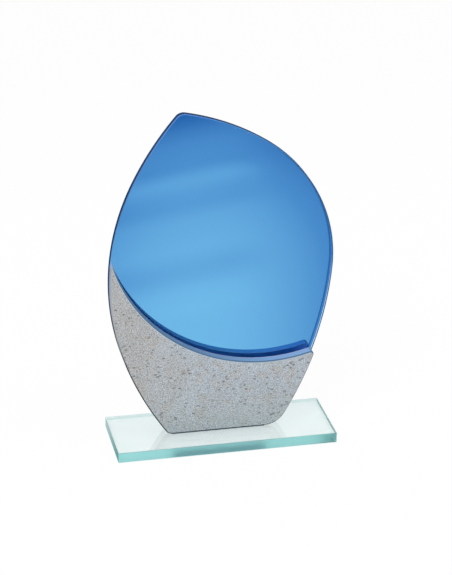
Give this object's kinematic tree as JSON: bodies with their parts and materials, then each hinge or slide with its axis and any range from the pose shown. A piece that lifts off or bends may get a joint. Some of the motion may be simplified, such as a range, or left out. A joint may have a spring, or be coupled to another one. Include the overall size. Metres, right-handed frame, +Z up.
{
  "type": "glass award",
  "caption": "Free-standing glass award: a pointed oval blue mirror plate with a stone-effect panel bonded to its lower front, on a rectangular clear glass base.",
  "frame": {"origin": "middle of the base plate's underside", "axes": "+Z up, the stone-effect front faces -Y, +X to the right of someone who faces the front"},
  "size_m": [0.1281, 0.046, 0.1959],
  "materials": {
    "base_glass": "polished",
    "adhesive": "gloss",
    "plate_glass": "polished",
    "blue_mirror": "polished",
    "backing_paint": "satin",
    "panel_glass": "polished",
    "stone_effect": "satin"
  },
  "bodies": {
    "root": {"base_plate": "base_glass", "foot_bond": "adhesive", "mirror_glass": "plate_glass", "mirror_coating": "blue_mirror", "mirror_backing": "backing_paint", "panel_bond": "adhesive", "panel_glass": "panel_glass", "stone_print": "stone_effect"}
  },
  "joints": []
}
